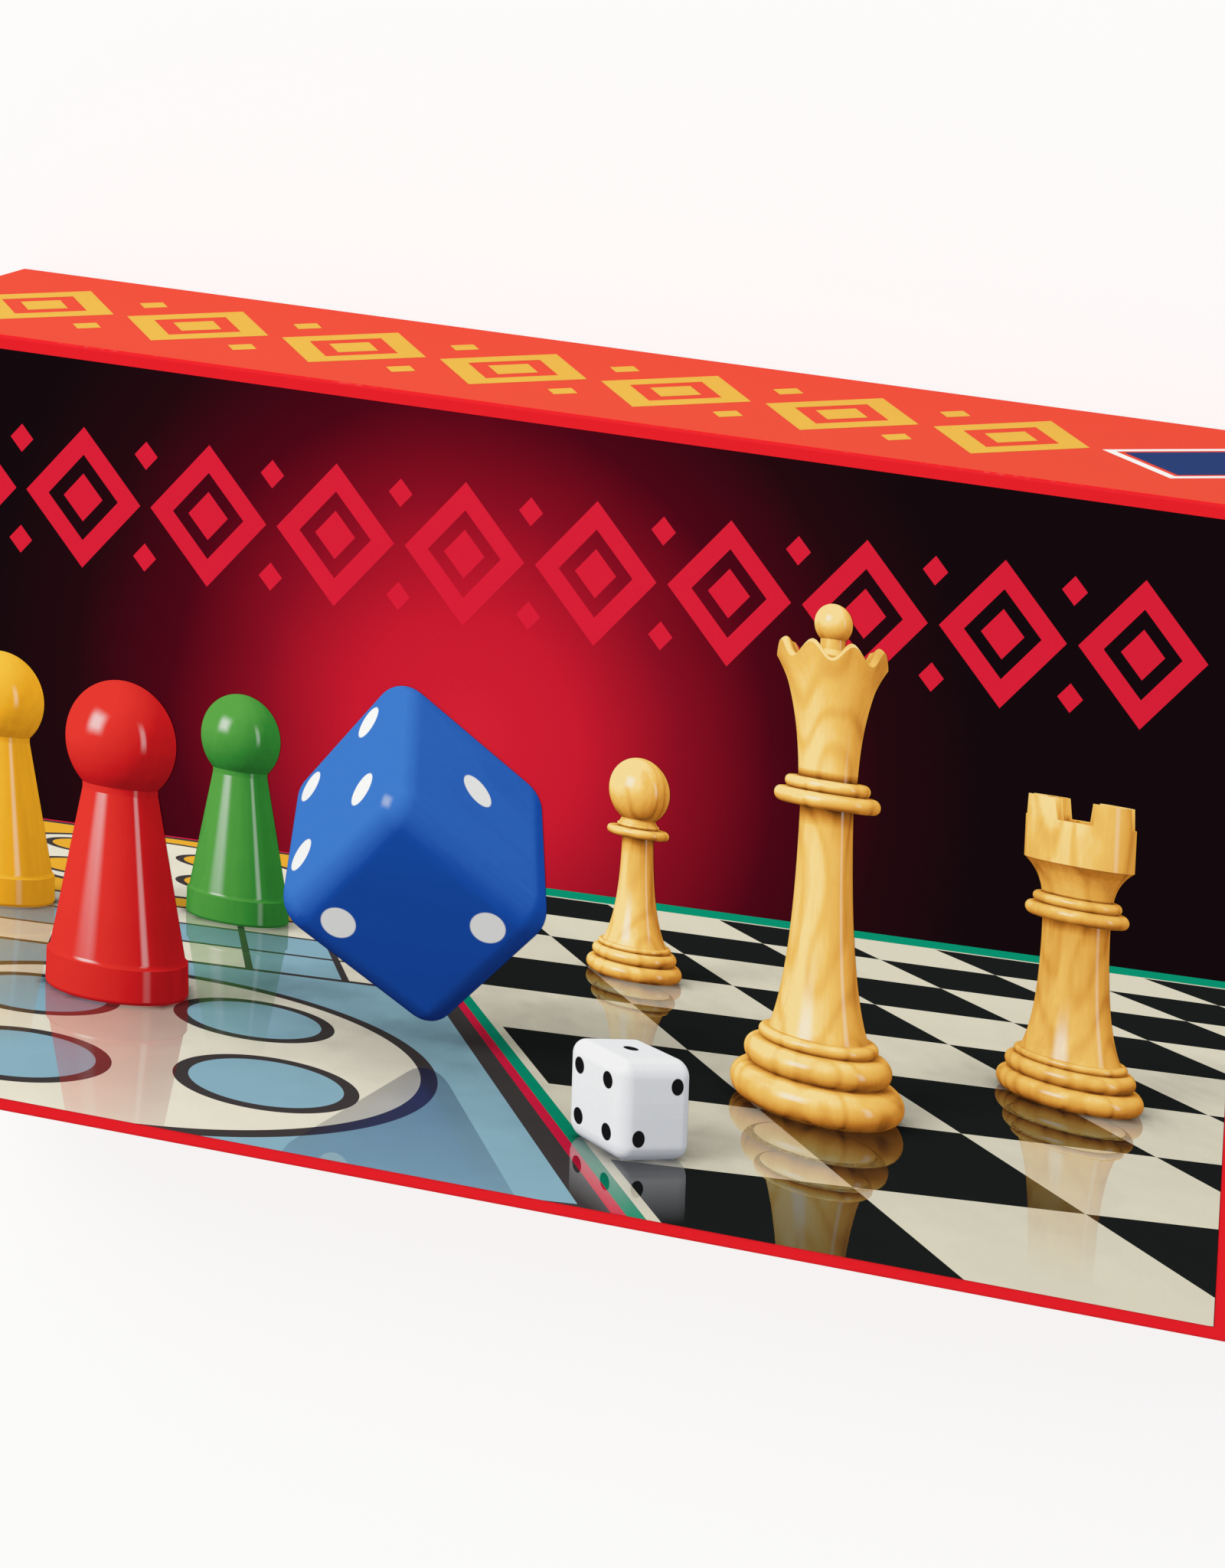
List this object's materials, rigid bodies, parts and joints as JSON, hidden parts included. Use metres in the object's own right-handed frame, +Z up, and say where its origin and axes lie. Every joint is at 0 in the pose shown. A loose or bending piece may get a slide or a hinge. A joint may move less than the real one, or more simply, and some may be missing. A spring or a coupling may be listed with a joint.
{
  "type": "chess and ludo box set",
  "caption": "Flat lift-off-lid card box set: a folding chess and ludo board on a card insert whose wells hold turned wooden chessmen, ludo men and a die.",
  "frame": {"origin": "middle of the base's underside, which is the middle of the closed box's footprint", "axes": "+X along the box's length, +Y across it towards the board's fold and the top of the lid's print, +Z up through the lid"},
  "size_m": [0.29, 0.1518, 0.058],
  "materials": {
    "printed_wrap": "gloss",
    "plain_wrap": "satin",
    "greyboard": "matte",
    "insert_card": "matte",
    "divider_card": "matte",
    "leaflet_paper": "matte",
    "game_board": "satin",
    "hinge_cloth": "matte",
    "light_wood": "satin",
    "dark_wood": "satin",
    "ludo_green": "gloss",
    "ludo_yellow": "gloss",
    "ludo_red": "gloss",
    "ludo_blue": "gloss",
    "die_white": "gloss"
  },
  "bodies": {
    "base": {"base_tray": "greyboard", "base_wrap": "plain_wrap"},
    "insert": {"card_insert": "insert_card", "insert_dividers": "divider_card"},
    "playing_pieces": {"dark_bishop_1": "dark_wood", "dark_bishop_2": "dark_wood", "dark_king": "dark_wood", "dark_knight_1": "dark_wood", "dark_knight_2": "dark_wood", "dark_pawn_1": "dark_wood", "dark_pawn_2": "dark_wood", "dark_pawn_3": "dark_wood", "dark_pawn_4": "dark_wood", "dark_pawn_5": "dark_wood", "dark_pawn_6": "dark_wood", "dark_pawn_7": "dark_wood", "dark_pawn_8": "dark_wood", "dark_queen": "dark_wood", "dark_rook_1": "dark_wood", "dark_rook_2": "dark_wood", "die": "die_white", "light_bishop_1": "light_wood", "light_bishop_2": "light_wood", "light_king": "light_wood", "light_knight_1": "light_wood", "light_knight_2": "light_wood", "light_pawn_1": "light_wood", "light_pawn_2": "light_wood", "light_pawn_3": "light_wood", "light_pawn_4": "light_wood", "light_pawn_5": "light_wood", "light_pawn_6": "light_wood", "light_pawn_7": "light_wood", "light_pawn_8": "light_wood", "light_queen": "light_wood", "light_rook_1": "light_wood", "light_rook_2": "light_wood", "ludo_blue_1": "ludo_blue", "ludo_blue_2": "ludo_blue", "ludo_blue_3": "ludo_blue", "ludo_blue_4": "ludo_blue", "ludo_green_1": "ludo_green", "ludo_green_2": "ludo_green", "ludo_green_3": "ludo_green", "ludo_green_4": "ludo_green", "ludo_red_1": "ludo_red", "ludo_red_2": "ludo_red", "ludo_red_3": "ludo_red", "ludo_red_4": "ludo_red", "ludo_yellow_1": "ludo_yellow", "ludo_yellow_2": "ludo_yellow", "ludo_yellow_3": "ludo_yellow", "ludo_yellow_4": "ludo_yellow"},
    "leaflet": {"rules_leaflet": "leaflet_paper"},
    "board_lower": {"board_lower_half": "game_board", "hinge_tape": "hinge_cloth"},
    "board_upper": {"board_upper_half": "game_board"},
    "lid": {"lid_shell": "greyboard", "lid_wrap": "printed_wrap"}
  },
  "joints": [
    {"name": "insert_lift", "type": "slide", "parent": "base", "child": "insert", "axis": [0, 0, 1], "range_m": [0, 0.06]},
    {"name": "pieces_lift", "type": "slide", "parent": "insert", "child": "playing_pieces", "axis": [0, 0, 1], "range_m": [0, 0.04]},
    {"name": "leaflet_lift", "type": "slide", "parent": "playing_pieces", "child": "leaflet", "axis": [0, 0, 1], "range_m": [0, 0.03]},
    {"name": "board_lift", "type": "slide", "parent": "leaflet", "child": "board_lower", "axis": [0, 0, 1], "range_m": [0, 0.08]},
    {"name": "lid_lift", "type": "slide", "parent": "board_lower", "child": "lid", "axis": [0, 0, 1], "range_m": [0, 0.46]},
    {"name": "board_fold", "type": "hinge", "parent": "board_lower", "child": "board_upper", "pos_m": [0, 0.07032, 0.05325], "axis": [-1, 0, 0], "range_deg": [0, 180], "deforming": ["hinge_tape"]}
  ],
  "couplings": [
    {"joint": "board_fold", "follows": "lid_lift", "rad_per_m": 6.829}
  ]
}
